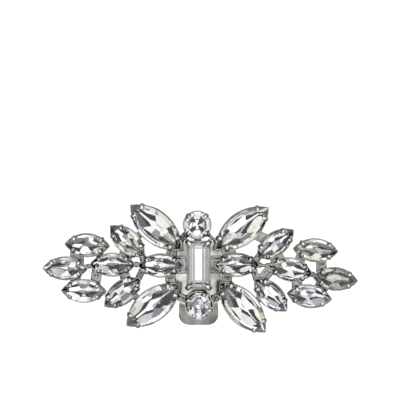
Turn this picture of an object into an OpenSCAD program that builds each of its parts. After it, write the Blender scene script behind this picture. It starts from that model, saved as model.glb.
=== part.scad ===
// Clip-on shoe buckle: a spray of glass stones in soldered claw cups, on a sprung shoe clip.
// The ornament lies in the XY plane with its stones facing +Z. The clip is on the back.
// The origin is on the clip plate's back face, behind the middle of the long centre stone.

/* [Stones] */
// Length of a small navette stone
small_l = 10; // [8:0.1:13]
// Width of a small navette stone
small_w = 5; // [4:0.1:6.5]
// Length of a large navette stone
large_l = 15; // [12:0.1:18]
// Width of a large navette stone
large_w = 7; // [5.5:0.1:8.5]
// Diameter of a round stone
round_d = 6.1; // [5:0.1:7.5]
// Length of the long centre stone
long_l = 10.6; // [8.5:0.1:13]
// Width of the long centre stone
long_w = 4.9; // [4:0.1:6]
// Height of the upright band round each stone
girdle_h = 0.25; // [0.15:0.05:0.4]
// Crown height as a share of the stone's width
crown_share = 0.2; // [0.15:0.01:0.26]
// Pavilion depth as a share of the stone's width
pavilion_share = 0.38; // [0.3:0.01:0.46]
// Table width as a share of the stone's width
table_share = 0.56; // [0.45:0.01:0.7]

/* [Settings] */
// Wall of the claw cups
wall = 0.3; // [0.25:0.01:0.45]
// Gap between a stone and its cup
stone_gap = 0.04; // [0.03:0.01:0.1]
// Thickness of a cup's bottom
floor_t = 0.4; // [0.3:0.05:0.6]
// How much narrower a cup is at its bottom, on each side
taper = 0.6; // [0.3:0.05:0.8]
// Radius of a claw
claw_r = 0.43; // [0.35:0.01:0.55]
// How far the claws reach above the stone's band
claw_rise = 0.6; // [0.4:0.05:0.8]
// Place of a navette's claws, as a share of its half length
claw_at = 0.66; // [0.5:0.01:0.75]
// Width of one joining strip
strip_w = 0.85; // [0.5:0.05:1]
// Thickness of the joining strips
strip_t = 0.34; // [0.25:0.01:0.5]
// Lift of the long centre stone above the other stones
long_lift = 0.6; // [0:0.1:1.2]
// Film of cement between the cups and the clip's plate
glue_t = 0.06; // [0.04:0.01:0.1]

/* [Clip plate] */
// Width of the clip's base plate
plate_w = 10.6; // [9:0.1:13]
// Thickness of the base plate and its ears
plate_t = 0.6; // [0.5:0.05:0.8]
// Corner radius of the base plate
plate_corner = 2.4; // [1.5:0.1:3]
// Distance of the hinge below the centre
hinge_down = 6.3; // [5:0.1:7.5]
// Reach of the base plate below the hinge
plate_tail = 3.1; // [2.6:0.1:3.8]
// Reach of the base plate past the jaw's teeth
plate_past = 1.1; // [0.8:0.1:1.6]

/* [Jaw] */
// Thickness of the jaw's sheet
jaw_t = 0.6; // [0.5:0.05:0.75]
// Length of the jaw from the hinge to its teeth
jaw_len = 10.6; // [9.5:0.1:13]
// Gap between the jaw's sides and the ears
side_gap = 0.3; // [0.2:0.05:0.4]
// Gap between the closed teeth and the base plate
bite_gap = 0.15; // [0.1:0.05:0.3]
// Width of one gripping tooth
tooth_w = 1.1; // [0.8:0.1:1.6]
// Length of the thumb tab from the hinge
tab_len = 8.2; // [6.5:0.1:9.5]
// Width of the thumb tab at its end
tab_w = 9.4; // [7:0.1:9.8]
// Corner radius of the thumb tab
tab_corner = 2.5; // [1:0.1:2.8]

/* [Hinge] */
// Radius of the hinge pin
pin_r = 0.6; // [0.5:0.01:0.75]
// Running gap between the pin and the jaw
pin_gap = 0.05; // [0.03:0.01:0.08]
// Height of the pin's riveted heads
head_t = 0.35; // [0.25:0.05:0.5]
// Gap between an ear and the pin's head
head_gap = 0.05; // [0.03:0.01:0.1]
// Radius of the spring's wire
spring_r = 0.25; // [0.2:0.01:0.3]
// Number of whole turns in the spring
spring_turns = 5; // [3:1:7]
// Gap between the spring and the pin
coil_gap = 0.15; // [0.1:0.01:0.2]
// Space between the spring's coil and the base plate
over_coil = 0.75; // [0.6:0.05:1]
// Space between the spring's coil and the jaw's floor
under_coil = 0.35; // [0.2:0.05:0.6]

/* [Hidden] */
$fn = 64;
eps = 0.01;
over = 1; // how far a cutting shape runs past what it cuts
rim = wall + stone_gap;
claw_reach = rim / 2 + claw_r; // from a stone's edge to the outside of its claws

// The clip, outwards from its hinge
lug_wall = 0.7;
head_r = pin_r + lug_wall / 2;
flange_r = pin_r + lug_wall;
ear_r = flange_r + wall;
coil_r = pin_r + coil_gap + spring_r;
hinge_deep = coil_r + spring_r + over_coil;
jaw_deep = hinge_deep + coil_r + spring_r + under_coil;
jaw_up = jaw_len - hinge_down;
tab_down = hinge_down + tab_len;
plate_up = jaw_up + plate_past;
plate_down = hinge_down + plate_tail;
jaw_w = plate_w - 2 * plate_t - 2 * side_gap;
jaw_low = -jaw_deep - jaw_t;

// One pitch is the room across a small setting with its claws, or more where another kind
// of stone needs it. Every place below is a share of it, so the settings keep clear.
small_pitches = [1.81, 1];
large_pitches = [2.62, 1.33];
round_pitches = 1.18;
long_pitches = [1.91, 0.99];
pitch = max([
    (small_l + 2 * claw_reach) / small_pitches[0],
    (small_w + 2 * claw_reach) / small_pitches[1],
    (large_l + 2 * claw_reach) / large_pitches[0],
    (large_w + 2 * claw_reach) / large_pitches[1],
    (round_d + 2 * claw_reach) / round_pitches,
    (long_l + 2 * claw_reach) / long_pitches[0],
    (long_w + 2 * claw_reach) / long_pitches[1]
]);

// Kinds of stone: length, width, lift above the common seat
SMALL = [small_l, small_w, 0];
LARGE = [large_l, large_w, 0];
ROUND = [round_d, round_d, 0];
LONG = [long_l, long_w, long_lift];

// Columns: stone node, kind, right of the centre and above it in pitches,
// turn in the plane, lift of the right end and of the upper side in degrees
STONES = [
    ["navette_large_1", LARGE, -1.58, 1.41, -41, 2, -1],
    ["navette_large_2", LARGE, -1.69, -1.49, 38, 2, 1],
    ["navette_large_3", LARGE, 1.62, 1.36, 38, -2, 1],
    ["navette_large_4", LARGE, 1.64, -1.57, -48, -2, -1],
    ["navette_small_1", SMALL, -1.41, -0.02, 0, 2, 1],
    ["navette_small_2", SMALL, -3.2, 0.01, 0, -1, -2],
    ["navette_small_3", SMALL, -4.14, 0.74, -3, 2, -2],
    ["navette_small_4", SMALL, -4.96, -0.13, 0, 3, 2],
    ["navette_small_5", SMALL, -4.27, -0.97, -1, 1, 3],
    ["navette_small_6", SMALL, -2.65, 0.89, -42, -2, 2],
    ["navette_small_7", SMALL, -2.83, -1.03, 38, 2, -2],
    ["navette_small_8", SMALL, 1.43, 0, 0, -2, -1],
    ["navette_small_9", SMALL, 3.41, -0.17, -12, 1, 2],
    ["navette_small_10", SMALL, 4.36, 0.55, -4, -2, -3],
    ["navette_small_11", SMALL, 5.09, -0.52, -6, -3, 2],
    ["navette_small_12", SMALL, 4.13, -1.17, -8, -1, 3],
    ["navette_small_13", SMALL, 2.86, 0.79, 37, 2, 2],
    ["navette_small_14", SMALL, 2.69, -1.12, -45, -2, -2],
    ["round_stone_upper", ROUND, -0.05, 1.49, 0, 0, 0],
    ["round_stone_lower", ROUND, 0.02, -1.5, 20, 0, 0],
    ["baguette_stone", LONG, 0, 0, 90, 0, 0]
];
NAME = 0;
KIND = 1;
RIGHT = 2;
UP = 3;
TURN = 4;
LIFT_END = 5;
LIFT_SIDE = 6;

// Joining strips. Columns: places in the table above of the two stones, strips side by side,
// where the strips start and end along each stone, as shares of its half length
STRIPS = [
    [7, 6, 4, 0.5, -0.5], [7, 8, 3, 0.4, -0.4], [7, 5, 1, 0.6, -0.6],
    [6, 5, 2, 0.4, -0.5], [8, 5, 3, 0.45, -0.7], [5, 9, 4, 0.4, 0.2],
    [5, 10, 3, 0.4, 0.3], [5, 4, 1, 0.6, -0.6], [9, 4, 2, 0.85, -0.75],
    [10, 4, 2, 0.85, -0.75], [9, 0, 2, 0, 0], [10, 1, 2, 0, 0],
    [0, 4, 3, 0.7, 0.4], [1, 4, 3, 0.7, 0.4], [0, 18, 2, 0.8, 0], [1, 19, 2, 0.6, 0],
    [14, 13, 3, -0.6, 0.3], [14, 15, 4, -0.4, 0.4], [14, 12, 1, -0.6, 0.6],
    [13, 12, 3, -0.5, 0.3], [15, 12, 3, -0.55, 0.35], [12, 16, 4, -0.4, -0.2],
    [12, 17, 3, -0.75, -0.75], [12, 11, 1, -0.6, 0.6], [16, 11, 2, -0.85, 0.75],
    [17, 11, 2, -0.85, 0.7], [16, 2, 3, 0, 0], [17, 3, 2, 0, 0],
    [2, 11, 3, -0.55, -0.15], [3, 11, 3, -0.75, -0.4], [2, 18, 1, -0.85, 0], [3, 19, 2, -0.6, 0],
    [4, 20, 5, 0, 0], [20, 11, 5, 0, 0], [18, 20, 2, 0, 0], [20, 19, 2, 0, 0]
];
FROM = 0;
TO = 1;
SIDE_BY_SIDE = 2;
FROM_ALONG = 3;
TO_ALONG = 4;

// Heights, from the clip plate's back face
back_z = plate_t + glue_t;
cup_z = back_z + 0.5 * glue_t;
strip_z = cup_z + 0.5 * glue_t;
seat_z = cup_z + floor_t + 2 * stone_gap;

function is_round(kind) = kind[0] == kind[1];
function is_long(kind) = kind == LONG;
function crown_h(kind) = crown_share * kind[1];
function pavilion_h(kind) = pavilion_share * kind[1];
function band_z(kind) = seat_z + kind[2] + pavilion_h(kind);
function table_inset(kind) = (1 - table_share) * kind[1] / 2;

// A navette's outline is two arcs, which meet at its points.
function arc_r(kind) = (kind[0] * kind[0] + kind[1] * kind[1]) / (4 * kind[1]);
function arc_off(kind) = arc_r(kind) - kind[1] / 2;
function place(stone) = [stone[RIGHT] * pitch, stone[UP] * pitch];
function place_along(stone, share) =
    place(stone) + share * stone[KIND][0] / 2 * [cos(stone[TURN]), sin(stone[TURN])];

// Puts its children, drawn round the Z axis, at a stone's place, tipped about its band
module at_stone(stone) {
    z = band_z(stone[KIND]);
    translate([place(stone)[0], place(stone)[1], z])
        rotate([0, 0, stone[TURN]])
            rotate([stone[LIFT_SIDE], -stone[LIFT_END], 0])
                translate([0, 0, -z])
                    children();
}

// Solid with a stone's outline. Each step of the profile is [growth of the outline, height].
module outline_solid(kind, profile) {
    if (is_round(kind)) {
        turned(kind[0] / 2, profile);
    } else if (is_long(kind)) {
        intersection() {
            tapered_bar(kind[0] / 2, kind[1], profile);
            rotate([0, 0, 90])
                tapered_bar(kind[1] / 2, kind[0], profile);
        }
    } else {
        intersection() {
            translate([0, arc_off(kind), 0])
                turned(arc_r(kind), profile);
            translate([0, -arc_off(kind), 0])
                turned(arc_r(kind), profile);
        }
    }
}

module turned(r, profile) {
    last = len(profile) - 1;
    rotate_extrude()
        polygon(concat(
            [[0, profile[0][1]]],
            [for (step = profile) [r + step[0], step[1]]],
            [[0, profile[last][1]]]
        ));
}

// Bar across Y that the profile widens along X
module tapered_bar(half, w, profile) {
    last = len(profile) - 1;
    translate([0, w, 0])
        rotate([90, 0, 0])
            linear_extrude(height = 2 * w)
                polygon(concat(
                    [for (step = profile) [half + step[0], step[1]]],
                    [for (i = [last:-1:0]) [-half - profile[i][0], profile[i][1]]]
                ));
}

// Places of a stone's claws, which stand in the middle of the cup's wall
function claw_places(kind) =
    is_round(kind)
        ? [for (a = [45:90:315]) (kind[0] + rim) / 2 * [cos(a), sin(a)]]
        : is_long(kind)
        ? [for (x = [-1, 1], y = [-1, 1]) [x * kind[0] / 2, y * kind[1] / 2]]
        : [for (x = [-1, 1], y = [-1, 1])
            let (a = asin(claw_at * kind[0] / 2 / arc_r(kind)), r = arc_r(kind) + rim / 2)
            [x * r * sin(a), y * (r * cos(a) - arc_off(kind))]];

// Claws grow out of the wall at mid height and end in a narrower tip over the crown.
module claws(kind) {
    top = band_z(kind) + girdle_h + claw_rise;
    root = (cup_z + band_z(kind)) / 2;
    for (claw = claw_places(kind))
        translate([claw[0], claw[1], 0])
            turned(claw_r, [[-claw_r / 2, root], [0, root + claw_r], [0, top - claw_r], [-claw_r / 2, top]]);
}

// Cup of one stone with its claws and the room for the stone
module cup(kind) {
    low = cup_z + floor_t;
    band = band_z(kind);
    top = band + girdle_h + stone_gap;
    difference() {
        union() {
            outline_solid(kind, [[rim - taper, cup_z], [rim, band + girdle_h / 2]]);
            claws(kind);
        }
        outline_solid(kind, [
            [stone_gap - taper * (band - low) / (band - cup_z), low],
            [stone_gap, band],
            [stone_gap, top],
            [stone_gap - table_inset(kind), top + crown_h(kind)]
        ]);
    }
}

module strips() {
    for (strip = STRIPS) {
        a = place_along(STONES[strip[FROM]], strip[FROM_ALONG]);
        b = place_along(STONES[strip[TO]], strip[TO_ALONG]);
        w = strip[SIDE_BY_SIDE] * strip_w;
        translate([a[0], a[1], strip_z])
            rotate([0, 0, atan2(b[1] - a[1], b[0] - a[0])])
                translate([0, -w / 2, 0])
                    cube([norm(b - a), w, strip_t]);
    }
}

module rounded_plate(w, low, high, corner, t) {
    linear_extrude(height = t) {
        translate([-w / 2 + corner, low])
            square([w - 2 * corner, high - low]);
        translate([-w / 2, low + corner])
            square([w, high - low - 2 * corner]);
        for (x = [-w / 2 + corner, w / 2 - corner], y = [low + corner, high - corner])
            translate([x, y])
                circle(r = corner);
    }
}

// Round-ended lug in the YZ plane, from the height z to round the hinge pin
module lug(r, z, t, bore) {
    difference() {
        union() {
            translate([0, -hinge_down - r, min(z, -hinge_deep)])
                cube([t, 2 * r, abs(z + hinge_deep)]);
            translate([0, -hinge_down, -hinge_deep])
                rotate([0, 90, 0])
                    cylinder(h = t, r = r);
        }
        translate([-over, -hinge_down, -hinge_deep])
            rotate([0, 90, 0])
                cylinder(h = t + 2 * over, r = bore);
    }
}

module clip_plate() {
    color("lightgray") {
        rounded_plate(plate_w, -plate_down, plate_up, plate_corner, plate_t);
        for (x = [-plate_w / 2, plate_w / 2 - plate_t])
            translate([x, 0, 0])
                lug(ear_r, plate_t / 2, plate_t, pin_r + pin_gap / 2);
    }
}

module setting_frame() {
    color("silver")
        difference() {
            union() {
                strips();
                for (stone = STONES)
                    at_stone(stone)
                        cup(stone[KIND]);
            }
            translate([-plate_w / 2 - over, -plate_down - over, 0])
                cube([plate_w + 2 * over, plate_up + plate_down + 2 * over, back_z]);
        }
}

// Outline points of a stone at a height, inset from its edge
ARC_STEPS = 6;
ROUND_STEPS = 16;
function outline(kind, inset, z) =
    is_round(kind)
        ? [for (i = [0:ROUND_STEPS - 1])
            let (a = i * 360 / ROUND_STEPS)
            [(kind[0] / 2 - inset) * cos(a), (kind[0] / 2 - inset) * sin(a), z]]
        : is_long(kind)
        ? [for (c = [[1, -1], [1, 1], [-1, 1], [-1, -1]])
            [c[0] * (kind[0] / 2 - inset), c[1] * (kind[1] / 2 - inset), z]]
        : let (r = arc_r(kind) - inset, half = acos(arc_off(kind) / r))
          [for (side = [1, -1], i = [0:ARC_STEPS - 1])
            let (a = half * (1 - 2 * i / ARC_STEPS))
            [side * r * sin(a), side * (r * cos(a) - arc_off(kind)), z]];

function scaled_ring(points, share, z) = [for (p = points) [p[0] * share, p[1] * share, z]];

// Closed solid through rings of points, from the top ring to the bottom one
module facets(rings) {
    n = len(rings[0]);
    last = (len(rings) - 1) * n;
    polyhedron(
        points = [for (ring = rings) for (p = ring) p],
        faces = concat(
            [[for (i = [n - 1:-1:0]) i]],
            [for (k = [0:len(rings) - 2]) for (i = [0:n - 1])
                let (j = (i + 1) % n)
                [k * n + i, k * n + j, (k + 1) * n + j, (k + 1) * n + i]],
            [[for (i = [0:n - 1]) last + i]]
        )
    );
}

// A cut stone: flat table, sloping crown, upright band, and a pavilion. It narrows to a
// point, or to a keel on the long stone.
CULET_SHARE = 0.03;
KEEL_INSET = 0.45; // share of the long stone's width
module cut_stone(kind) {
    band = band_z(kind);
    top = band + girdle_h;
    edge = outline(kind, 0, band);
    facets([
        outline(kind, table_inset(kind), top + crown_h(kind)),
        outline(kind, 0, top),
        edge,
        is_long(kind)
            ? outline(kind, KEEL_INSET * kind[1], band - pavilion_h(kind))
            : scaled_ring(edge, CULET_SHARE, band - pavilion_h(kind))
    ]);
}

module stone(index) {
    color([0.86, 0.88, 0.9])
        at_stone(STONES[index])
            cut_stone(STONES[index][KIND]);
}

// Plan outline of the jaw, with the thumb tab's round corners
module jaw_plan() {
    hull() {
        for (x = [-1, 1])
            translate([x * (tab_w / 2 - tab_corner), -tab_down + tab_corner])
                circle(r = tab_corner);
        translate([-jaw_w / 2, -hinge_down - flange_r])
            square([jaw_w, eps]);
    }
    translate([-jaw_w / 2, -hinge_down - flange_r])
        square([jaw_w, jaw_up + hinge_down + flange_r]);
}

// Side profile of the jaw: the floor and the lip that is bent up towards the base plate
module jaw_profile() {
    bend = 2 * jaw_t;
    translate([-tab_down - over, jaw_low])
        square([tab_down + over + jaw_up - bend, jaw_t]);
    translate([jaw_up - jaw_t, jaw_low + bend])
        square([jaw_t, -jaw_low - bend - bite_gap]);
    translate([jaw_up - bend, jaw_low + bend])
        intersection() {
            difference() {
                circle(r = bend);
                circle(r = bend - jaw_t);
            }
            translate([0, -bend])
                square([bend, bend]);
        }
}

module clip_jaw() {
    notches = 2 * floor((jaw_w / tooth_w - 1) / 2) + 1;
    color("lightgray") {
        difference() {
            intersection() {
                translate([-jaw_w / 2 - over, 0, 0])
                    rotate([90, 0, 90])
                        linear_extrude(height = jaw_w + 2 * over)
                            jaw_profile();
                translate([0, 0, jaw_low - over])
                    linear_extrude(height = over - jaw_low)
                        jaw_plan();
            }
            for (i = [-(notches - 1) / 2:(notches - 1) / 2])
                translate([i * tooth_w, jaw_up, -bite_gap])
                    rotate([90, 0, 0])
                        cylinder(h = 2 * (jaw_t + over), r = tooth_w / 2, $fn = 4, center = true);
        }
        for (x = [-jaw_w / 2, jaw_w / 2 - jaw_t])
            translate([x, 0, 0])
                lug(flange_r, jaw_low + jaw_t / 2, jaw_t, pin_r + pin_gap);
    }
}

module hinge_pin() {
    color("gray")
        translate([0, -hinge_down, -hinge_deep])
            rotate([0, 90, 0]) {
                cylinder(h = plate_w + 2 * head_gap + head_t, r = pin_r, center = true);
                for (side = [-1, 1])
                    translate([0, 0, side * (plate_w / 2 + head_gap + head_t / 2)])
                        cylinder(h = head_t, r = head_r, center = true);
            }
}

// The spring is one wire: a leg on the base plate, the coil round the pin, a leg in the tab.
// Points are [along the pin, away from the tab, out from the hinge towards the plate].
SPRING_SIDES = 8;
RINGS_A_TURN = 16;
leg_gap = 0.08; // between a leg and the sheet that it presses on
turn_gap = 0.04;
leg_reach = 0.6 * tab_len;
coil_half = spring_turns * (2 * spring_r + turn_gap) / 2;
plate_leg = [spring_r - plate_tail, hinge_deep - spring_r - leg_gap];
tab_leg = [-leg_reach, hinge_deep - jaw_deep + spring_r + leg_gap];

function lean_to(leg, side) = atan2(leg[1], leg[0]) + side * acos(coil_r / norm(leg));
coil_start = lean_to(plate_leg, -1);
coil_end = lean_to(tab_leg, 1) - 360 * (spring_turns + (lean_to(tab_leg, 1) > coil_start ? 1 : 0));
coil_rings = ceil((coil_start - coil_end) / 360 * RINGS_A_TURN);

function spring_points() = concat(
    [[-coil_half, plate_leg[0], plate_leg[1]]],
    [for (i = [0:coil_rings])
        let (t = i / coil_rings, a = coil_start + (coil_end - coil_start) * t)
        [coil_half * (2 * t - 1), coil_r * cos(a), coil_r * sin(a)]],
    [[coil_half, tab_leg[0], tab_leg[1]]]
);

function unit(v) = v / norm(v);

// Tube of one radius through a row of points, closed at both ends
module tube(points, r, sides) {
    last = len(points) - 1;
    rings = [for (i = [0:last])
        let (
            along = unit(points[min(i + 1, last)] - points[max(i - 1, 0)]),
            out = unit(cross([1, 0, 0], along)),
            across = cross(along, out)
        )
        [for (k = [0:sides - 1])
            points[i] + r * (cos(k * 360 / sides) * out + sin(k * 360 / sides) * across)]];
    facets([for (i = [last:-1:0]) rings[i]]);
}

module hinge_spring() {
    color("dimgray")
        translate([0, -hinge_down, -hinge_deep])
            tube(spring_points(), spring_r, SPRING_SIDES);
}

setting_frame();
for (i = [0:len(STONES) - 1])
    stone(i);
clip_plate();
clip_jaw();
hinge_pin();
hinge_spring();
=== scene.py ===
"""Looks of a clip-on shoe buckle: foiled glass stones in soldered claw cups, on a sprung clip.

Meshes are in metres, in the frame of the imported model: the stones face +Z, the clip is below them.
Sizes are given in millimetres, and MM turns them into metres.
"""

import math

import bmesh
import bpy
import numpy as np
from mathutils import Matrix, Vector


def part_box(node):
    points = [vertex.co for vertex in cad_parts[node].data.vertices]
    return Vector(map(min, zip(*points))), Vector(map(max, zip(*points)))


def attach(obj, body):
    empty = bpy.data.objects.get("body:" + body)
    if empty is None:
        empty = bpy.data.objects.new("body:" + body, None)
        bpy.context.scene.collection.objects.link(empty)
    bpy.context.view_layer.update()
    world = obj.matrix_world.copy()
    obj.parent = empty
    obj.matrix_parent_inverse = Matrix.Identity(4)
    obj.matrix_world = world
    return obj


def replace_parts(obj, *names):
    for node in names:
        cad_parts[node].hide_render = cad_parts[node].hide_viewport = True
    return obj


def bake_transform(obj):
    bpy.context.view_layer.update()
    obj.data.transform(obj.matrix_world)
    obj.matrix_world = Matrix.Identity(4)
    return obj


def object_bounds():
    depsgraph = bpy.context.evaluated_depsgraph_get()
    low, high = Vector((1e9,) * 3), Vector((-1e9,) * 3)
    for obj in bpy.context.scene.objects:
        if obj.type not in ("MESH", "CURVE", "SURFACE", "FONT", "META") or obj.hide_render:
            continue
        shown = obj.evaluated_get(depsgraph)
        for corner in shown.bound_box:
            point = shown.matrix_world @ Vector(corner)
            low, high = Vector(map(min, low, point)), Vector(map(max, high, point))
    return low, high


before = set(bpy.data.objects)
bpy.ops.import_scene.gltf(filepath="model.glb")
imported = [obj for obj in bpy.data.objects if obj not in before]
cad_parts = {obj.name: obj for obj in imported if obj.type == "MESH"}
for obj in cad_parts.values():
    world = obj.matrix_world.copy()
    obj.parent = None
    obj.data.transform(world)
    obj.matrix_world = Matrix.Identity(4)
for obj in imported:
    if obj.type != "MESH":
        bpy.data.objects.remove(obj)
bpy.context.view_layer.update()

# Cut stones
# Each is one piece of clear pressed glass. A flat table and a ring of crown facets face up.
# The pavilion below the band comes to a point, and foil on it throws the light back.
MM = 0.001
EDGE_STEPS = 14
BAGUETTE_CORNER = 0.15
CORNER_STEPS = 5
AT_THE_EDGE = 0.98


def stone_kind(name):
    return name.split("_")[0]


def stone_frame(name):
    """A stone's own axes and its sizes in mm, measured on its CAD solid."""
    points = np.array([v.co[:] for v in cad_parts[name].data.vertices]) / MM
    points = np.unique(points.round(4), axis=0)
    middle = points.mean(axis=0)
    spreads, ways = np.linalg.eigh(np.cov((points - middle).T))
    up = ways[:, np.argmax(np.abs(ways[2]))]
    up = up * np.sign(up[2])
    along = np.array([1.0, 0.0, 0.0]) if stone_kind(name) == "round" else ways[:, np.argmax(spreads)]
    along = along - up * (along @ up)
    along = along / np.linalg.norm(along)
    if along[0] < -0.01 or (abs(along[0]) < 0.01 and along[1] < 0):
        along = -along
    axes = np.array([along, np.cross(up, along), up])
    local = (points - middle) @ axes.T
    out = np.hypot(local[:, 0], local[:, 1])
    band = local[out > AT_THE_EDGE * out.max()][:, 2]
    low, high = local.min(axis=0), local.max(axis=0)
    centre = middle + axes.T @ np.array([*(low[:2] + high[:2]) / 2, band.min()])
    matrix = np.eye(4)
    matrix[:3, :3] = axes.T
    matrix[:3, 3] = centre
    return {
        "kind": stone_kind(name),
        "length": high[0] - low[0],
        "width": high[1] - low[1],
        "band": band.max() - band.min(),
        "crown": high[2] - band.max(),
        "pavilion": band.min() - low[2],
        "matrix": matrix,
    }


STONES = {name: stone_frame(name) for name in sorted(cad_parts)
          if stone_kind(name) in ("navette", "round", "baguette")}


def outline(stone, grow=0.0):
    """Points round a stone's edge in mm, anticlockwise from the right-hand end, grown outwards."""
    length, width = stone["length"], stone["width"]
    if stone["kind"] == "round":
        turns = np.arange(2 * EDGE_STEPS) * math.pi / EDGE_STEPS
        return np.column_stack([np.cos(turns), np.sin(turns)]) * (length / 2 + grow)
    if stone["kind"] == "baguette":
        corner = max(BAGUETTE_CORNER + grow, BAGUETTE_CORNER / 2)
        x, y = length / 2 + grow - corner, width / 2 + grow - corner
        turns = np.linspace(0, math.pi / 2, CORNER_STEPS)
        arcs = [(s * x, t * y, turns + q * math.pi / 2)
                for q, (s, t) in enumerate([(1, 1), (-1, 1), (-1, -1), (1, -1)])]
        return np.vstack([np.column_stack([x0 + corner * np.cos(a), y0 + corner * np.sin(a)])
                          for x0, y0, a in arcs])
    radius = (length ** 2 + width ** 2) / (4 * width)
    off = radius - width / 2
    radius += grow
    turns = math.acos(off / radius) * (1 - 2 * np.arange(EDGE_STEPS) / EDGE_STEPS)
    upper = np.column_stack([radius * np.sin(turns), radius * np.cos(turns) - off])
    return np.vstack([upper, -upper])


def at_stone(stone, points):
    """Points in a stone's own frame, moved to where the stone lies, in mm."""
    return points @ stone["matrix"][:3, :3].T + stone["matrix"][:3, 3]


# Facets of each cut. Azimuths and slopes are in degrees, azimuths from the stone's length, and
# each facet has a twin on the far side. A crown facet leans in from the band to the table, whose
# inset is a share of the width. Below the band a main runs to the point. A break between two
# mains is steeper, and the stones that are plainly cut have none. Slopes vary by the slack.
BETWEEN_MAINS = [22.5, 67.5, 112.5, 157.5]
CUTS = {
    "navette": {"crown": [56, 80, 100, 124], "mains": [52, 90, 128], "breaks": [70, 110]},
    "round": {"crown": [0, 45, 90, 135], "mains": [0, 45, 90, 135], "breaks": BETWEEN_MAINS},
}
PLAINLY_CUT = ["navette_small_3", "navette_small_4", "navette_small_5", "navette_small_10",
               "navette_small_12", "navette_large_1", "navette_large_2", "navette_large_4"]
TABLE_INSET = 0.15
BREAK_STEEPER = 15
SLOPE_SLACK = {"navette": 8, "round": 2.5}

# A round stone's crown has stars round its table, which start inside the crown facets.
STAR_SLOPE = 24
STAR_START = 0.9
STAR_DROP = 0.02

# The long stone's facets are cut in steps: start in mm from its edge, slope, and below the band
# the drop in mm. One wide keel facet closes it below, a little askew.
LONG_CROWN = [(0.0, 52), (0.35, 34)]
LONG_STEPS = [(0.0, 56, 0.0), (0.35, 44, 0.52)]
LONG_KEEL = (1.3, 2.2, 1.76)
TABLE, CROWN, BAND, PAVILION = range(4)


def toward(azimuth):
    return np.array([math.cos(math.radians(azimuth)), math.sin(math.radians(azimuth))])


def cut_facet(bm, edge, azimuth, start, level, slope, cut):
    """Cuts one facet, which meets the height level at start inside the stone's edge."""
    way = toward(azimuth)
    point = Vector((*(way * ((edge @ way).max() - start)), level))
    flat, rise = math.sin(math.radians(slope)), math.cos(math.radians(slope))
    normal = Vector((*(way * flat), rise if cut == CROWN else -rise))
    geometry = bm.verts[:] + bm.edges[:] + bm.faces[:]
    seam = bmesh.ops.bisect_plane(bm, geom=geometry, plane_co=point, plane_no=normal,
                                  dist=1e-5, clear_outer=True)["geom_cut"]
    seam = [part for part in seam if isinstance(part, bmesh.types.BMEdge)]
    if len(seam) > 2:
        for face in bmesh.ops.contextual_create(bm, geom=seam)["faces"]:
            face[bm.faces.layers.int["cut"]] = cut


def cut_stone(stone, breaks, draw):
    """A stone's facets, cut from a prism of its outline."""
    edge = outline(stone)
    top, bottom = stone["band"] + stone["crown"], -stone["pavilion"]
    bm = bmesh.new()
    cuts = bm.faces.layers.int.new("cut")
    under, over = [[bm.verts.new((x, y, z)) for x, y in edge] for z in (bottom, top)]
    bm.faces.new(under[::-1])[cuts] = PAVILION
    bm.faces.new(over)[cuts] = TABLE
    for i in range(len(edge)):
        j = (i + 1) % len(edge)
        bm.faces.new((under[i], under[j], over[j], over[i]))[cuts] = BAND
    if stone["kind"] == "baguette":
        for azimuth in (0, 90, 180, 270):
            for start, slope in LONG_CROWN:
                level = stone["band"] + start * math.tan(math.radians(LONG_CROWN[0][1]))
                cut_facet(bm, edge, azimuth, start, level, slope, CROWN)
            for start, slope, drop in LONG_STEPS:
                cut_facet(bm, edge, azimuth, start, -drop, slope, PAVILION)
        start, slope, drop = LONG_KEEL
        cut_facet(bm, edge, 0, start, -drop, slope, PAVILION)
        return bm
    inset = TABLE_INSET * stone["width"]
    for half in (0, 180):
        for azimuth in CUTS[stone["kind"]]["crown"]:
            slope = math.degrees(math.atan2(stone["crown"], inset))
            cut_facet(bm, edge, azimuth + half, 0, stone["band"], slope, CROWN)
        if stone["kind"] == "round":
            for azimuth in BETWEEN_MAINS:
                start, level = STAR_START * inset, top - STAR_DROP
                cut_facet(bm, edge, azimuth + half, start, level, STAR_SLOPE, CROWN)
        for azimuth in CUTS[stone["kind"]]["mains"] + breaks:
            slope = math.degrees(math.atan2(stone["pavilion"], (edge @ toward(azimuth)).max()))
            if azimuth in breaks:
                slope += BREAK_STEEPER
            slope -= draw.uniform(0, SLOPE_SLACK[stone["kind"]])
            cut_facet(bm, edge, azimuth + half, 0, 0, slope, PAVILION)
    return bm


def add_node(tree, kind, feeds=None, **settings):
    """Adds a node with its settings. Each feed is an input's name or place and what it takes."""
    node = tree.nodes.new(kind)
    for setting, value in settings.items():
        setattr(node, setting, value)
    for place, source in (feeds or {}).items():
        if isinstance(source, bpy.types.NodeSocket):
            tree.links.new(source, node.inputs[place])
        else:
            node.inputs[place].default_value = source
    return node


def add_range(tree, source, from_low, from_high, to_low=0.0, to_high=1.0):
    """Maps one range of values to another, and gives the result's socket."""
    feeds = {"Value": source, "From Min": from_low, "From Max": from_high,
             "To Min": to_low, "To Max": to_high}
    return add_node(tree, "ShaderNodeMapRange", feeds).outputs["Result"]


def add_mix(tree, share, first, second):
    feeds = {"Factor": share, "A": first, "B": second}
    return add_node(tree, "ShaderNodeMix", feeds, data_type="RGBA").outputs["Result"]


def add_math(tree, operation, first, second=0.0):
    return add_node(tree, "ShaderNodeMath", {0: first, 1: second}, operation=operation).outputs[0]


def object_place(tree):
    return add_node(tree, "ShaderNodeTexCoord").outputs["Object"]


def new_material(name, constants):
    """A Principled material with its constants set on the shader's own sockets."""
    material = bpy.data.materials.new(name)
    material.use_nodes = True
    shader = material.node_tree.nodes["Principled BSDF"]
    for place, value in constants.items():
        shader.inputs[place].default_value = value
    return material, material.node_tree, shader


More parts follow.
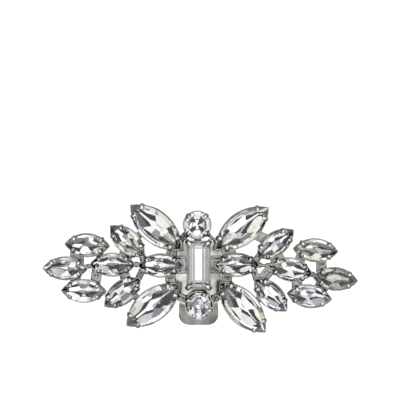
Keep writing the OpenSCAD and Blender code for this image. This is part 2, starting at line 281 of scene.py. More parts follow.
MARKS_SHOW = (0.52, 0.72)
CLOUDS_SHOW = (0.4, 0.66)
MARKS_TURN = 0.35
MARKS_DEEP = 0.02


def handling_marks():
    """Fine marks and cloudy patches, which polished glass and metal get from handling."""
    group = bpy.data.node_groups.new("handling_marks", "ShaderNodeTree")
    group.interface.new_socket("Grain", in_out="INPUT", socket_type="NodeSocketVector")
    group.interface.new_socket("Patches", in_out="INPUT", socket_type="NodeSocketFloat")
    group.interface.new_socket("Depth", in_out="INPUT", socket_type="NodeSocketFloat")
    group.interface.new_socket("Marks", in_out="OUTPUT", socket_type="NodeSocketFloat")
    group.interface.new_socket("Clouds", in_out="OUTPUT", socket_type="NodeSocketFloat")
    group.interface.new_socket("Normal", in_out="OUTPUT", socket_type="NodeSocketVector")
    given = add_node(group, "NodeGroupInput")
    place = object_place(group)
    turned = add_node(group, "ShaderNodeMapping", {"Vector": place, "Rotation": (0, 0, MARKS_TURN)})
    stretched = add_node(group, "ShaderNodeVectorMath",
                         {0: turned.outputs["Vector"], 1: given.outputs["Grain"]}, operation="MULTIPLY")
    marks = add_node(group, "ShaderNodeTexNoise",
                     {"Vector": stretched.outputs["Vector"], "Scale": 1.0, "Detail": 3.0})
    scored = add_range(group, marks.outputs["Fac"], *MARKS_SHOW)
    clouds = add_node(group, "ShaderNodeTexNoise",
                      {"Vector": place, "Scale": given.outputs["Patches"], "Detail": 4.0})
    patchy = add_range(group, clouds.outputs["Fac"], *CLOUDS_SHOW)
    bump = add_node(group, "ShaderNodeBump", {
        "Strength": given.outputs["Depth"], "Distance": MARKS_DEEP * MM, "Height": marks.outputs["Fac"]})
    add_node(group, "NodeGroupOutput",
             {"Marks": scored, "Clouds": patchy, "Normal": bump.outputs["Normal"]})
    return group


marks_group = handling_marks()


def add_marks(tree, grain, patches, depth):
    """Places the marks group. Grain and patches are in marks for each metre."""
    feeds = {"Grain": grain, "Patches": patches, "Depth": depth}
    marks = tree.nodes.new("ShaderNodeGroup")
    marks.node_tree = marks_group
    for place, value in feeds.items():
        marks.inputs[place].default_value = value
    return marks


def glass_material():
    material, tree, shader = new_material("clear_glass", {
        "Base Color": (0.985, 0.985, 0.99, 1), "Transmission Weight": 1.0, "IOR": 1.54})
    marks = add_marks(tree, (700, 5200, 2000), 260, 0.02)
    tree.links.new(add_range(tree, marks.outputs["Marks"], 0.2, 1, 0.0, 0.05), shader.inputs["Roughness"])
    return material


# The foil is painted a speckled olive grey, and made rougher, towards the inner end of each navette.
# The shares are of its half length, from the stone's middle towards the spray's. In some stones
# the tint reaches further out.
INNER_TONE_FROM_TO = (-0.1, 0.6)
INNER_END_TONE = (0.60, 0.61, 0.49, 1)
INNER_TONE_FURTHER = {"navette_small_11": 1.6, "navette_small_10": 0.2, "navette_small_4": 0.2}


def foil_material():
    material, tree, shader = new_material("silver_foil", {"Metallic": 1.0})
    painted_fire = add_node(tree, "ShaderNodeAttribute", attribute_name="painted_fire")
    marks = add_marks(tree, (900, 1500, 1500), 420, 0.05)
    speckle = add_node(tree, "ShaderNodeTexNoise", {
        "Vector": object_place(tree), "Scale": 1500, "Detail": 3.0, "Roughness": 0.7})
    specks = add_range(tree, speckle.outputs["Fac"], 0.42, 0.56)
    # Towards each navette's inner end the foil's colour is mixed with a speckled olive grey.
    inner = add_node(tree, "ShaderNodeAttribute", attribute_name="inner_end").outputs["Fac"]
    towards_inner = add_range(tree, inner, *INNER_TONE_FROM_TO, 0.1, 0.85)
    inner_tone = add_math(tree, "MULTIPLY", specks, towards_inner)
    colour = add_mix(tree, inner_tone, painted_fire.outputs["Color"], INNER_END_TONE)
    tree.links.new(colour, shader.inputs["Base Color"])
    tree.links.new(add_range(tree, inner_tone, 0, 1, 0.02, 0.22), shader.inputs["Roughness"])
    tree.links.new(marks.outputs["Normal"], shader.inputs["Normal"])
    return material


clear_glass = glass_material()
silver_foil = foil_material()


def new_object(name, data):
    thing = bpy.data.objects.new(name, data)
    bpy.context.scene.collection.objects.link(thing)
    return thing


def new_piece(name, mesh, body):
    piece = new_object(name, mesh)
    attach(piece, body)
    return piece


# Tints that the foil's facets throw back, and how often each turns up. The seed was chosen. Some
# stones are dimmed, or are nowhere darker than a limit, and those numbers were set by each
# stone's average brightness. The long stone's sloping facets are darker than its level ones.
# These tints are painted into the foil's colour: their greys, yellows and blues are painted reflections
# and painted fire. A dimmed stone gets painted shade, a limit paints light into a stone's darker facets,
# and the long stone's sloping facets get painted shade.
PAINTED_FIRE = [
    ((0.93, 0.93, 0.94), 12),
    ((0.84, 0.84, 0.87), 6),
    ((0.75, 0.75, 0.80), 4),
    ((0.86, 0.87, 0.79), 4),
    ((0.44, 0.44, 0.50), 3),
    ((0.93, 0.93, 0.68), 0.35),
    ((0.78, 0.87, 0.94), 1),
]
painted_fire_tints = np.array([tint for tint, often in PAINTED_FIRE])
painted_fire_odds = np.array([often for tint, often in PAINTED_FIRE]) / sum(often for tint, often in PAINTED_FIRE)
SEED = 4
DIMMED = {
    "round_stone_lower": 0.93, "navette_small_11": 0.47, "navette_small_12": 0.86,
    "navette_large_1": 0.9, "navette_large_3": 0.95, "navette_large_4": 0.95,
}
AT_LEAST = {
    "round_stone_upper": 0.9, "navette_small_1": 0.9, "navette_small_2": 0.86,
    "navette_small_3": 0.9, "navette_small_4": 0.82, "navette_small_5": 0.82,
    "navette_small_6": 0.7, "navette_small_7": 0.7, "navette_small_8": 0.9,
    "navette_small_9": 0.7, "navette_small_13": 0.7,
}
LONG_LEVEL = 0.96
LONG_SLOPING = 0.7
NO_INNER_TONE = -1.0

for name, stone in STONES.items():
    finely = stone["kind"] in CUTS and name not in PLAINLY_CUT
    draw = np.random.default_rng([SEED, *name.encode()])
    bm = cut_stone(stone, CUTS[stone["kind"]]["breaks"] if finely else [], draw)
    bmesh.ops.recalc_face_normals(bm, faces=bm.faces)
    cuts = [face[bm.faces.layers.int["cut"]] for face in bm.faces]
    bm.transform(Matrix.Scale(MM, 4) @ Matrix(stone["matrix"].tolist()))
    mesh = bpy.data.meshes.new(name + "_cut")
    bm.to_mesh(mesh)
    bm.free()
    mesh.materials.append(clear_glass)
    mesh.materials.append(silver_foil)
    mesh.polygons.foreach_set("material_index", [int(cut == PAVILION) for cut in cuts])
    spots = np.array([vertex.co[:] for vertex in mesh.vertices]) / MM
    ends = np.full(len(spots), NO_INNER_TONE)
    if stone["kind"] == "navette":
        middle, along = stone["matrix"][:2, 3], stone["matrix"][:2, 0]
        inner = ((middle - spots[:, :2]) @ along) * np.sign(middle[0])
        ends = inner / (stone["length"] / 2) + INNER_TONE_FURTHER.get(name, 0)
    mesh.attributes.new("inner_end", "FLOAT", "POINT").data.foreach_set("value", ends)
    # Painted reflection and fire for each facet, painted shade on dimmed stones, painted light up to each
    # limit.
    tints = painted_fire_tints[draw.choice(len(painted_fire_tints), len(cuts), p=painted_fire_odds)] * DIMMED.get(name, 1)
    tints = np.maximum(tints, AT_LEAST.get(name, 0))
    # The lower round stone's facets are painted bluer, a painted reflection.
    if name == "round_stone_lower":
        tints[:, 2] = tints.max(axis=1)
    # Painted shade on the long stone's sloping facets.
    if stone["kind"] == "baguette":
        level = np.array([abs(polygon.normal.z) > 0.9 for polygon in mesh.polygons])
        tints = np.where(level[:, None], LONG_LEVEL, LONG_SLOPING * tints)
    painted_fire = mesh.attributes.new("painted_fire", "FLOAT_COLOR", "FACE")
    painted_fire.data.foreach_set("color", np.column_stack([tints, np.ones(len(tints))]).ravel())
    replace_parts(new_piece(name + "_cut", mesh, "buckle"), name)

# Claw cups
# Each stone sits in a cup that is stamped from thin brass to the stone's outline. The cups are
# soldered together and plated silver. The plating is darker and greenish lower down, partly
# tarnish and partly painted shade, and painted brighter where it lies level, a painted sheen.
CUP_WALL = 0.3
STONE_GAP = 0.04
CUP_TAPER = 0.6
CUP_FLOOR = 0.4
SEAT_GAP = 0.08
LONG_LIFT = 0.6
CEMENT = 0.06
CUP_EDGE = CUP_WALL + STONE_GAP


def cup_deep(stone):
    """From a stone's band down to the underside of its cup."""
    return stone["pavilion"] + CUP_FLOOR + SEAT_GAP + (LONG_LIFT if stone["kind"] == "baguette" else 0)


def cup_rings(stone):
    """Steps of a cup's wall: growth of the stone's outline and height from the stone's band.
    They go from under the cup, up its wall and round its lip, to its floor inside."""
    deep = cup_deep(stone)
    foot = CUP_EDGE - CUP_TAPER
    return [
        (foot - 0.12, -deep), (foot - 0.02, -deep + 0.05), (foot + 0.04, -deep + 0.2),
        (foot + 0.22, -0.62 * deep), (CUP_EDGE - 0.12, -0.3 * deep), (CUP_EDGE - 0.02, -0.16),
        (CUP_EDGE, -0.02), (CUP_EDGE - 0.02, 0.1), (CUP_EDGE - 0.09, 0.17), (CUP_EDGE - 0.17, 0.18),
        (STONE_GAP + 0.05, 0.14), (STONE_GAP + 0.01, 0.06), (STONE_GAP, -0.1),
        (foot + 0.05, -deep + CUP_FLOOR),
    ]


def shell_of(loops):
    """Points and faces of a closed shell through loops of as many points each."""
    count = len(loops[0])
    faces = [tuple(reversed(range(count)))]
    for k in range(len(loops) - 1):
        for i in range(count):
            j = (i + 1) % count
            faces.append((k * count + i, k * count + j, (k + 1) * count + j, (k + 1) * count + i))
    faces.append(tuple((len(loops) - 1) * count + i for i in range(count)))
    return np.vstack(loops), faces


def lofted(stone, rings):
    """Closed shell through a stone's outline, grown and raised ring by ring: points and faces."""
    points, faces = shell_of([np.column_stack([outline(stone, grow), np.full(len(outline(stone)), level)])
                              for grow, level in rings])
    return at_stone(stone, points), faces


def mesh_of(name, shells, scale=MM):
    """One mesh of several closed shells, in metres from mm."""
    points, faces = [], []
    for shell_points, shell_faces in shells:
        faces += [tuple(len(points) + i for i in face) for face in shell_faces]
        points += (shell_points * scale).tolist()
    mesh = bpy.data.meshes.new(name)
    mesh.from_pydata(points, [], faces)
    return mesh


def smooth_but_edges(mesh, degrees):
    mesh.shade_smooth()
    mesh.set_sharp_from_angle(angle=math.radians(degrees))


PLATE_TOP = 0.6
plate_low, plate_high = [np.array(corner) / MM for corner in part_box("clip_plate")]


def clear_of_plate(points):
    """Lifts what hangs too low over the clip's base plate onto its cement."""
    over = np.all((points[:, :2] > plate_low[:2]) & (points[:, :2] < plate_high[:2]), axis=1)
    points[over, 2] = np.maximum(points[over, 2], PLATE_TOP + CEMENT)
    return points


# The plating is rubbed bright where it lies high, and painted brighter where it lies level, which is
# a painted sheen; lower down it is darker, partly tarnish and partly painted shade. These are its
# tones, the heights in metres and the tilts between which it gets brighter, and how much the clouds
# in it take away.
TARNISH_AND_SHADE = (0.062, 0.063, 0.047, 1)
RUBBED_AND_SHEEN = (0.92, 0.92, 0.89, 1)
RUBBED_AND_LIT_FROM_TO = (0.9 * MM, 3.4 * MM, 0.32, 0.9)
SHEEN_LEVEL_FROM_TO = (0.8, 0.99, 0.1, 1)
CLOUDED = (1.0, 0.5)


def plated_material():
    material, tree, shader = new_material("plated_brass", {"Metallic": 1.0})
    marks = add_marks(tree, (1200, 4200, 4200), 330, 0.35)
    # Brighter high up, partly wear and partly painted highlight; brighter on level faces, a painted sheen.
    height = add_node(tree, "ShaderNodeSeparateXYZ", {0: object_place(tree)}).outputs["Z"]
    high_up = add_range(tree, height, *RUBBED_AND_LIT_FROM_TO)
    facing = add_node(tree, "ShaderNodeNewGeometry").outputs["Normal"]
    level = add_node(tree, "ShaderNodeSeparateXYZ", {0: facing}).outputs["Z"]
    flat = add_math(tree, "ABSOLUTE", level)
    rubbed_and_sheen = add_math(tree, "MULTIPLY", high_up, add_range(tree, flat, *SHEEN_LEVEL_FROM_TO))
    cloud = add_range(tree, marks.outputs["Clouds"], 0, 1, *CLOUDED)
    bright = add_math(tree, "MULTIPLY", rubbed_and_sheen, cloud)
    colour = add_mix(tree, bright, TARNISH_AND_SHADE, RUBBED_AND_SHEEN)
    tree.links.new(colour, shader.inputs["Base Color"])
    tree.links.new(add_range(tree, bright, 0, 1, 0.32, 0.1), shader.inputs["Roughness"])
    tree.links.new(marks.outputs["Normal"], shader.inputs["Normal"])
    return material


plated_brass = plated_material()
shells = [lofted(stone, cup_rings(stone)) for stone in STONES.values()]
mesh = mesh_of("claw_cups", [(clear_of_plate(points), faces) for points, faces in shells])
mesh.materials.append(plated_brass)
smooth_but_edges(mesh, 48)
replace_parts(new_piece("claw_cups", mesh, "buckle"), "setting_frame")

# Claws
# Four to a cup, drawn up from its wall and pressed over the stone's crown. One claw is swept
# along a short bent path, gets narrower to its tip, and stands at every place of the points.
CLAW_WIDTH = 0.94
CLAW_THICKNESS = 0.62
CLAW_ROOT = 1.5
CLAW_RISE = 0.62
CLAW_OVER = 0.62
CLAW_STANDS_OUT = 0.4
CLAW_ARCH = 1.1
CLAW_AT = {"navette_small": 0.66, "navette_large": 0.76}
ROUND_TURNS = {"round_stone_lower": 20}
BIGGER_CLAWS = {"navette_large": 1.15, "round_stone": 1.1, "baguette_stone": 1.2}
CLAW_TIP = [(0.0, 0.86), (0.55, 1.0), (0.8, 0.97), (0.9, 0.82), (0.96, 0.56), (1.0, 0.12)]


def claw_places(name, stone):
    """Places on a stone's edge and the way inwards from each, in the stone's own frame."""
    if stone["kind"] == "round":
        turns = np.radians(np.arange(45, 405, 90) + ROUND_TURNS.get(name, 0))
        ways = np.column_stack([np.cos(turns), np.sin(turns)])
        return ways * stone["length"] / 2, -ways
    corners = np.array([(1, 1), (-1, 1), (-1, -1), (1, -1)])
    if stone["kind"] == "baguette":
        return corners * (stone["length"] / 2, stone["width"] / 2), -corners / math.sqrt(2)
    radius = (stone["length"] ** 2 + stone["width"] ** 2) / (4 * stone["width"])
    turn = math.asin(CLAW_AT[name.rsplit("_", 1)[0]] * stone["length"] / 2 / radius)
    ways = corners * (math.sin(turn), math.cos(turn))
    return ways * radius - corners * (0, radius - stone["width"] / 2), -ways


def new_tree(name, sizes):
    """A Geometry Nodes tree with named inputs for its sizes and its material."""
    tree = bpy.data.node_groups.new(name, "GeometryNodeTree")
    tree.interface.new_socket("Geometry", in_out="INPUT", socket_type="NodeSocketGeometry")
    for size in sizes:
        tree.interface.new_socket(size, in_out="INPUT", socket_type="NodeSocketFloat")
    tree.interface.new_socket("Metal", in_out="INPUT", socket_type="NodeSocketMaterial")
    tree.interface.new_socket("Geometry", in_out="OUTPUT", socket_type="NodeSocketGeometry")
    return tree, add_node(tree, "NodeGroupInput").outputs


def end_tree(tree, given, geometry):
    real = add_node(tree, "GeometryNodeRealizeInstances", {"Geometry": geometry})
    smooth = add_node(tree, "GeometryNodeSetShadeSmooth", {"Geometry": real.outputs["Geometry"]})
    finished = add_node(tree, "GeometryNodeSetMaterial",
                        {"Geometry": smooth.outputs["Geometry"], "Material": given["Metal"]})
    add_node(tree, "NodeGroupOutput", {"Geometry": finished.outputs["Geometry"]})
    return tree


def add_point(tree, x, y, z):
    return add_node(tree, "ShaderNodeCombineXYZ", {"X": x, "Y": y, "Z": z}).outputs[0]


def add_named(tree, name, kind):
    node = add_node(tree, "GeometryNodeInputNamedAttribute", {"Name": name}, data_type=kind)
    return node.outputs["Attribute"]


def add_swept(tree, given, curve, steps, flat_along):
    """Sweeps an oval of the given width and thickness along a curve."""
    half_width = add_math(tree, "MULTIPLY", given["Width"], 0.5)
    flatness = add_math(tree, "DIVIDE", given["Thickness"], given["Width"])
    ring = add_node(tree, "GeometryNodeCurvePrimitiveCircle", {"Resolution": steps, "Radius": half_width})
    scales = [flatness if axis == flat_along else 1.0 for axis in "XYZ"]
    oval = add_node(tree, "GeometryNodeTransform", {
        "Geometry": ring.outputs["Curve"], "Scale": add_point(tree, *scales)})
    swept = add_node(tree, "GeometryNodeCurveToMesh", {
        "Curve": curve, "Profile Curve": oval.outputs["Geometry"], "Fill Caps": True})
    return swept.outputs["Mesh"]


def claw_tree():
    tree, given = new_tree("claws", ["Width", "Thickness", "Root", "Rise", "Over"])
    low = add_math(tree, "MULTIPLY", given["Root"], -1.0)
    out = add_math(tree, "MULTIPLY", given["Thickness"], -CLAW_STANDS_OUT)
    high = add_math(tree, "MULTIPLY", given["Rise"], CLAW_ARCH)
    path = add_node(tree, "GeometryNodeCurvePrimitiveBezierSegment", {
        "Resolution": 18,
        "Start": add_point(tree, out, 0.0, low),
        "Start Handle": add_point(tree, out, 0.0, given["Rise"]),
        "End Handle": add_point(tree, 0.0, 0.0, high),
        "End": add_point(tree, given["Over"], 0.0, given["Rise"]),
    })
    along = add_node(tree, "GeometryNodeSplineParameter").outputs["Factor"]
    tip = add_node(tree, "ShaderNodeFloatCurve", {"Value": along})
    points = tip.mapping.curves[0].points
    for i, (at, share) in enumerate(CLAW_TIP):
        point = points[i] if i < 2 else points.new(at, share)
        point.location = (at, share)
    tip.mapping.update()
    shaped = add_node(tree, "GeometryNodeSetCurveRadius",
                      {"Curve": path.outputs["Curve"], "Radius": tip.outputs["Value"]})
    claw = add_swept(tree, given, shaped.outputs["Curve"], 12, "X")
    inwards = add_named(tree, "inwards", "FLOAT_VECTOR")
    facing = add_node(tree, "FunctionNodeAlignRotationToVector", {"Vector": inwards},
                      axis="X", pivot_axis="Z")
    placed = add_node(tree, "GeometryNodeInstanceOnPoints", {
        "Points": given["Geometry"], "Instance": claw,
        "Rotation": facing.outputs["Rotation"], "Scale": add_named(tree, "size", "FLOAT")})
    return end_tree(tree, given, placed.outputs["Instances"])


def taken_from(blank):
    """The mesh of an object with its modifiers applied. The object goes."""
    bpy.context.view_layer.update()
    evaluated = blank.evaluated_get(bpy.context.evaluated_depsgraph_get())
    mesh = bpy.data.meshes.new_from_object(evaluated)
    bpy.data.objects.remove(blank)
    return mesh


def grown(name, mesh, tree, sizes, material, extra=()):
    """The plain mesh, in metres, that a Geometry Nodes tree grows on a mesh in mm."""
    seedling = new_object(name, mesh)
    modifier = seedling.modifiers.new(name, "NODES")
    modifier.node_group = tree
    sockets = {item.name: item.identifier
               for item in tree.interface.items_tree if item.in_out == "INPUT"}
    for size, value in sizes.items():
        modifier[sockets[size]] = value
    modifier[sockets["Metal"]] = material
    for kind, settings in extra:
        finish = seedling.modifiers.new(kind, kind)
        for setting, value in settings.items():
            setattr(finish, setting, value)
    result = taken_from(seedling)
    result.name = name
    result.transform(Matrix.Scale(MM, 4))
    return result


places, inwards, scales = [], [], []
for name, stone in STONES.items():
    edges, ways = claw_places(name, stone)
    scales += [BIGGER_CLAWS.get(name.rsplit("_", 1)[0], BIGGER_CLAWS.get(name, 1))] * len(edges)
    level = np.full(len(edges), stone["band"])
    places.append(at_stone(stone, np.column_stack([edges, level])))
    inwards.append(np.column_stack([ways, 0 * level]) @ stone["matrix"][:3, :3].T)
points = bpy.data.meshes.new("claw_points")
points.from_pydata(np.vstack(places).tolist(), [], [])
ways = points.attributes.new("inwards", "FLOAT_VECTOR", "POINT")
ways.data.foreach_set("vector", np.vstack(inwards).ravel())
points.attributes.new("size", "FLOAT", "POINT").data.foreach_set("value", scales)
mesh = grown("claws", points, claw_tree(), {
    "Width": CLAW_WIDTH, "Thickness": CLAW_THICKNESS, "Root": CLAW_ROOT, "Rise": CLAW_RISE,
    "Over": CLAW_OVER}, plated_brass)
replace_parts(new_piece("claws", mesh, "buckle"), "setting_frame")

# Joining strips
# Flattened brass wires lie side by side under the cups and join them, like the ribs of a leaf.
# Solder has run into the corners, so wires and cups flow together.
STRIP_WIDTH = 0.85
STRIP_LOW = 0.72
STRIP_THICKNESS = 0.34
SOLDER_RADIUS = 0.62
SOLDER_HEIGHT = 0.3
SOLDER_UNEVEN = (0.8, 1.2)
VOXEL = 0.125

# Each row joins two stones by wires side by side, from a place along one stone to a place along
# the other, as shares of their half lengths. L is a large navette and S a small one.
STRIPS = [
    ("S4", "S3", 4, 0.5, -0.5), ("S4", "S5", 3, 0.4, -0.4), ("S4", "S2", 1, 0.6, -0.6),
    ("S3", "S2", 2, 0.4, -0.5), ("S5", "S2", 3, 0.45, -0.7), ("S2", "S6", 4, 0.4, 0.2),
    ("S2", "S7", 3, 0.4, 0.3), ("S2", "S1", 1, 0.6, -0.6), ("S6", "S1", 2, 0.85, -0.75),
    ("S7", "S1", 2, 0.85, -0.75), ("S6", "L1", 2, 0, 0), ("S7", "L2", 2, 0, 0),
    ("L1", "S1", 3, 0.7, 0.4), ("L2", "S1", 3, 0.7, 0.4),
    ("L1", "upper", 2, 0.8, 0), ("L2", "lower", 2, 0.6, 0),
    ("S11", "S10", 3, -0.6, 0.3), ("S11", "S12", 4, -0.4, 0.4), ("S11", "S9", 1, -0.6, 0.6),
    ("S10", "S9", 3, -0.5, 0.3), ("S12", "S9", 3, -0.55, 0.35), ("S9", "S13", 4, -0.4, -0.2),
    ("S9", "S14", 3, -0.75, -0.75), ("S9", "S8", 1, -0.6, 0.6), ("S13", "S8", 2, -0.85, 0.75),
    ("S14", "S8", 2, -0.85, 0.7), ("S13", "L3", 3, 0, 0), ("S14", "L4", 2, 0, 0),
    ("L3", "S8", 4, -0.62, -0.22), ("L4", "S8", 3, -0.75, -0.4),
    ("L3", "upper", 1, -0.85, 0), ("L4", "lower", 2, -0.6, 0),
    ("S1", "long", 5, 0, 0), ("long", "S8", 5, 0, 0),
    ("upper", "long", 2, 0, 0), ("long", "lower", 2, 0, 0),
]
SHORT_NAMES = {"upper": "round_stone_upper", "lower": "round_stone_lower", "long": "baguette_stone"}


def named_stone(short):
    sizes = {"L": "navette_large_", "S": "navette_small_"}
    return STONES[SHORT_NAMES[short] if short in SHORT_NAMES else sizes[short[0]] + short[1:]]


def place_along(stone, share):
    return stone["matrix"][:2, 3] + stone["matrix"][:2, 0] * share * stone["length"] / 2


def inside_cup(stone, points):
    """Which points of the plane, in mm, lie inside a cup's rim seen from above."""
    local = (points - stone["matrix"][:2, 3]) @ stone["matrix"][:2, :2]
    edge = outline(stone, CUP_EDGE)
    ahead = np.roll(edge, -1, axis=0) - edge
    to_point = local[:, None, :] - edge[None]
    turns = ahead[None, :, 0] * to_point[..., 1] - ahead[None, :, 1] * to_point[..., 0]
    return np.all(turns > 0, axis=1)


def strip_tree():
    tree, given = new_tree("joining_strips", ["Width", "Thickness", "Solder"])
    wires = add_node(tree, "GeometryNodeMeshToCurve", {"Mesh": given["Geometry"]})
    level = add_node(tree, "GeometryNodeSetCurveNormal", {"Curve": wires.outputs["Curve"]}, mode="Z_UP")
    swept = add_swept(tree, given, level.outputs["Curve"], 16, "Y")
    drop = add_node(tree, "GeometryNodeMeshIcoSphere", {"Radius": 1.0, "Subdivisions": 3})
    spread = add_named(tree, "solder", "FLOAT")
    has_drop = add_node(tree, "FunctionNodeCompare", {0: spread, 1: 0.0},
                        data_type="FLOAT", operation="GREATER_THAN")
    least, most = SOLDER_UNEVEN
    uneven = add_node(tree, "FunctionNodeRandomValue", {2: least, 3: most, "Seed": 5}, data_type="FLOAT")
    wide = add_math(tree, "MULTIPLY", spread, uneven.outputs[1])
    drops = add_node(tree, "GeometryNodeInstanceOnPoints", {
        "Points": given["Geometry"], "Selection": has_drop.outputs["Result"],
        "Instance": drop.outputs["Mesh"], "Scale": add_point(tree, wide, wide, given["Solder"])})
    joined = add_node(tree, "GeometryNodeJoinGeometry")
    for part in (swept, drops.outputs["Instances"]):
        tree.links.new(part, joined.inputs[0])
    return end_tree(tree, given, joined.outputs[0])


STRIP_STEPS = 60
points, edges, solder = [], [], []
middle_level = STRIP_LOW + STRIP_THICKNESS / 2
for first, second, wires, first_along, second_along in STRIPS:
    start = place_along(named_stone(first), first_along)
    end = place_along(named_stone(second), second_along)
    way = (end - start) / np.linalg.norm(end - start)
    side = np.array([-way[1], way[0]])
    for wire in range(wires):
        offset = side * (wire - (wires - 1) / 2) * STRIP_WIDTH
        edges.append((len(points), len(points) + 1))
        points += [(*(start + offset), middle_level), (*(end + offset), middle_level)]
        solder += [0, 0]
    steps = start + np.linspace(0, 1, STRIP_STEPS)[:, None] * (end - start)
    for short in (first, second):
        within = inside_cup(named_stone(short), steps)
        for i in np.flatnonzero(within[1:] != within[:-1]):
            points.append((*steps[i], middle_level))
            solder.append(SOLDER_RADIUS * (0.7 + 0.3 * wires))
ribs = bpy.data.meshes.new("strip_lines")
ribs.from_pydata(points, edges, [])
ribs.attributes.new("solder", "FLOAT", "POINT").data.foreach_set("value", solder)
mesh = grown("joining_strips", ribs, strip_tree(), {
    "Width": STRIP_WIDTH, "Thickness": STRIP_THICKNESS, "Solder": SOLDER_HEIGHT}, plated_brass, extra=[
    ("REMESH", {"mode": "VOXEL", "voxel_size": VOXEL, "use_smooth_shade": True}),
    ("SMOOTH", {"factor": 0.5, "iterations": 1})])
mesh.materials.clear()
mesh.materials.append(plated_brass)
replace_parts(new_piece("joining_strips", mesh, "buckle"), "setting_frame")

# Clip plate and jaw
# Both are stamped from spring steel sheet, tumbled until their edges are soft, and plated grey.
# The plate is cemented to the backs of the cups, and its steel is painted lighter than the jaw's, a
# painted highlight. The jaw turns between the plate's ears, and its tab is darker and rougher.
SOFT_EDGE = 0.12


def steel_material(name, light, dark, grain, rough):
    material, tree, shader = new_material(name, {"Metallic": 1.0})
    marks = add_marks(tree, grain, 240, 0.5)
    patches = add_mix(tree, marks.outputs["Clouds"], (*light, 1), (*dark, 1))
    scored = add_range(tree, marks.outputs["Marks"], 0, 1, 0, 0.35)
    colour = add_mix(tree, scored, patches, (*[0.7 * part for part in dark], 1))
    tree.links.new(colour, shader.inputs["Base Color"])
    tree.links.new(add_range(tree, marks.outputs["Marks"], 0, 1, *rough), shader.inputs["Roughness"])
    tree.links.new(marks.outputs["Normal"], shader.inputs["Normal"])
    return material


def softened(name, node, width, body, material):
    """A CAD solid's shape with its sharp edges rounded off, which stands for that solid."""
    bm = bmesh.new()
    bm.from_mesh(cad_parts[node].data)
    bm.transform(Matrix.Scale(1 / MM, 4))
    bmesh.ops.remove_doubles(bm, verts=bm.verts, dist=1e-4)
    bmesh.ops.dissolve_limit(bm, angle_limit=math.radians(0.5), verts=bm.verts, edges=bm.edges)
    mesh = bpy.data.meshes.new(name)
    bm.to_mesh(mesh)
    bm.free()
    blank = new_object(name, mesh)
    bevel = blank.modifiers.new("soft edges", "BEVEL")
    bevel.width = width
    bevel.segments = 3
    bevel.limit_method = "ANGLE"
    bevel.angle_limit = math.radians(35)
    mesh = taken_from(blank)
    mesh.name = name
    mesh.transform(Matrix.Scale(MM, 4))
    mesh.materials.clear()
    mesh.materials.append(material)
    smooth_but_edges(mesh, 30)
    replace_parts(new_piece(name, mesh, body), node)


BRUSHED = (9000, 600, 9000)
clip_steel = steel_material("brushed_steel", (0.36, 0.36, 0.325), (0.165, 0.165, 0.14),
                            BRUSHED, (0.22, 0.38))
# A lighter copy of the jaw's steel, a painted highlight on the plate.
bright_steel = steel_material("highlight_painted_steel", (0.66, 0.66, 0.63), (0.28, 0.28, 0.25),
                              BRUSHED, (0.14, 0.3))
softened("clip_base_plate", "clip_plate", SOFT_EDGE, "buckle", bright_steel)
softened("clip_gripping_jaw", "clip_jaw", SOFT_EDGE, "jaw", clip_steel)

# Hinge pin
# A turned steel pin, riveted over at both ends into low domes.
pin_low, pin_high = [np.array(corner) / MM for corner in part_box("hinge_pin")]
pin_half = (pin_high[0] - pin_low[0]) / 2
pin_middle = (pin_low + pin_high) / 2
head_radius = (pin_high[1] - pin_low[1]) / 2
PIN_RADIUS = 0.6
HEAD_HEIGHT = 0.35
PIN_STEPS = 32
PIN_PROFILE = [
    (PIN_RADIUS - 0.02, 0.0), (PIN_RADIUS - 0.02, pin_half - HEAD_HEIGHT),
    (head_radius - 0.05, pin_half - HEAD_HEIGHT), (head_radius, pin_half - 0.28),
    (0.92 * head_radius, pin_half - 0.17), (0.72 * head_radius, pin_half - 0.07),
    (0.4 * head_radius, pin_half - 0.015), (0.05, pin_half),
]
profile = [(r, -x) for r, x in reversed(PIN_PROFILE)] + PIN_PROFILE[1:]
turns = np.arange(PIN_STEPS) * 2 * math.pi / PIN_STEPS
rings = [np.column_stack([np.full(PIN_STEPS, x), r * np.cos(turns), r * np.sin(turns)])
         for r, x in profile]
points, faces = shell_of(rings)
mesh = mesh_of("riveted_pin", [(points + pin_middle, faces)])
pin_steel = steel_material("turned_steel", (0.66, 0.66, 0.63), (0.5, 0.5, 0.46),
                           (500, 9000, 9000), (0.16, 0.3))
mesh.materials.append(pin_steel)
smooth_but_edges(mesh, 40)
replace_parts(new_piece("riveted_pin", mesh, "buckle"), "hinge_pin")

# Hinge spring
# Spring wire, wound on the pin. One leg lies on the base plate, the other presses on the tab,
# and the coil winds up along its length as the jaw opens. A leg's end is given from the pin's
# axis.
WIRE = 0.25
COIL_RADIUS = 1.0
COIL_TURNS = 5
TURN_GAP = 0.04
PLATE_LEG = (-2.85, 1.67)
TAB_LEG = (-4.92, -1.27)
STEPS_A_TURN = 24
coil_half = COIL_TURNS * (2 * WIRE + TURN_GAP) / 2


def leaves_coil(leg, side):
    """Turn at which a straight leg touches the coil."""
    return math.atan2(leg[1], leg[0]) + side * math.acos(COIL_RADIUS / math.hypot(*leg))


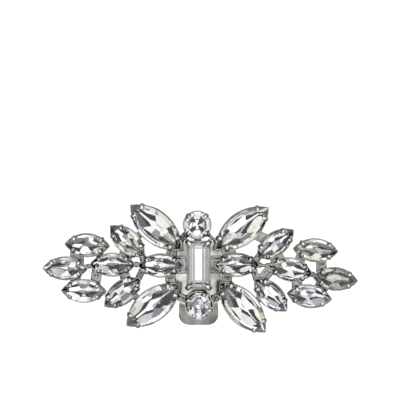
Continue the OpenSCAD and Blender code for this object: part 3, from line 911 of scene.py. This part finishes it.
coil_start = leaves_coil(PLATE_LEG, -1)
coil_end = leaves_coil(TAB_LEG, 1)
while coil_end > coil_start:
    coil_end -= 2 * math.pi
coil_end -= 2 * math.pi * COIL_TURNS
shares = np.linspace(0, 1, int((coil_start - coil_end) / (2 * math.pi) * STEPS_A_TURN))
turns = coil_start + (coil_end - coil_start) * shares
coil = np.column_stack([coil_half * (2 * shares - 1),
                        COIL_RADIUS * np.cos(turns), COIL_RADIUS * np.sin(turns)])
legs = [np.array([[-coil_half, *PLATE_LEG]]), np.array([[coil_half, *TAB_LEG]])]
wire = (np.vstack([legs[0], coil, legs[1]]) + (0, pin_middle[1], pin_middle[2])) * MM
curve = bpy.data.curves.new("spring_wire", "CURVE")
curve.dimensions = "3D"
curve.bevel_depth = WIRE * MM
curve.bevel_resolution = 4
curve.use_fill_caps = True
spline = curve.splines.new("POLY")
spline.points.add(len(wire) - 1)
spline.points.foreach_set("co", np.column_stack([wire, np.ones(len(wire))]).ravel())
mesh = taken_from(new_object("spring_wire", curve))
mesh.materials.clear()
spring_steel = steel_material("spring_wire", (0.4, 0.4, 0.39), (0.24, 0.24, 0.23),
                              (9000, 700, 700), (0.2, 0.34))
mesh.materials.append(spring_steel)
smooth_but_edges(mesh, 40)
spring = new_object("wound_spring", mesh)
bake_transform(spring)
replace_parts(spring, "hinge_spring")

# Floor, lights and camera
# The buckle lies on a white table inside a pale tent. Its darker panels give the facets and the
# plating something to show.
TABLE_HALF = 2.0
table_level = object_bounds()[0].z
mesh = bpy.data.meshes.new("table")
corners = [(-1, -1), (1, -1), (1, 1), (-1, 1)]
mesh.from_pydata([(x * TABLE_HALF, y * TABLE_HALF, table_level) for x, y in corners], [], [(0, 1, 2, 3)])
floor = new_object("table", mesh)
paper = new_material("white_paper", {
    "Base Color": (0.93, 0.93, 0.93, 1), "Roughness": 0.8,
    "Emission Color": (1, 1, 1, 1), "Emission Strength": 0.8})[0]
mesh.materials.append(paper)

# The tent is patched together from panels of cloth. Each row is the share of the panels that are
# darker and this panel's tone. A plain white panel hangs straight above.
PANEL_TONES = [
    (0.0, (0.22, 0.22, 0.26)),
    (0.12, (0.62, 0.62, 0.69)),
    (0.26, (0.95, 0.95, 0.98)),
    (0.46, (1.15, 1.15, 1.16)),
    (0.74, (1.5, 1.5, 1.5)),
]
PANELS_ACROSS = 2.6
TOP_PANEL = (0.975, 0.98)
TOP_TONE = (1.4, 1.4, 1.4, 1)
BACKDROP = (0.95, 0.95, 0.95, 1)
world = bpy.data.worlds.new("tent")
bpy.context.scene.world = world
world.use_nodes = True
tree = world.node_tree
way = add_node(tree, "ShaderNodeTexCoord").outputs["Generated"]
cloths = add_node(tree, "ShaderNodeTexVoronoi", {"Vector": way, "Scale": PANELS_ACROSS, "Randomness": 1.0})
tone = add_node(tree, "ShaderNodeSeparateColor", {0: cloths.outputs["Color"]}).outputs[0]
tones = add_node(tree, "ShaderNodeValToRGB", {"Fac": tone})
tones.color_ramp.interpolation = "CONSTANT"
for i, (at, colour) in enumerate(PANEL_TONES):
    stop = tones.color_ramp.elements[i] if i < 2 else tones.color_ramp.elements.new(at)
    stop.position = at
    stop.color = (*colour, 1)
overhead = add_range(tree, add_node(tree, "ShaderNodeSeparateXYZ", {0: way}).outputs["Z"], *TOP_PANEL)
panels = add_mix(tree, overhead, tones.outputs["Color"], TOP_TONE)
seen = add_node(tree, "ShaderNodeLightPath").outputs["Is Camera Ray"]
tree.links.new(add_mix(tree, seen, panels, BACKDROP), tree.nodes["Background"].inputs["Color"])

# The camera looks straight down. At the stones' level the buckle is as large as in the photo, and
# the frame's origin falls on the pixel where it lies there.
PHOTO_SIZE = 400
PHOTO_PX_PER_MM = 4.34
PHOTO_ORIGIN = (198.5, 265.0)
STONE_LEVEL = 3.5
LENS = 120
SENSOR = 36
camera_data = bpy.data.cameras.new("camera")
camera_data.lens = LENS
camera_data.sensor_width = SENSOR
camera = new_object("camera", camera_data)
bpy.context.scene.camera = camera
camera.location = (
    (PHOTO_SIZE / 2 - PHOTO_ORIGIN[0]) / PHOTO_PX_PER_MM * MM,
    (PHOTO_ORIGIN[1] - PHOTO_SIZE / 2) / PHOTO_PX_PER_MM * MM,
    (STONE_LEVEL + PHOTO_SIZE / PHOTO_PX_PER_MM * LENS / SENSOR) * MM,
)
bpy.context.scene.view_settings.view_transform = "Standard"
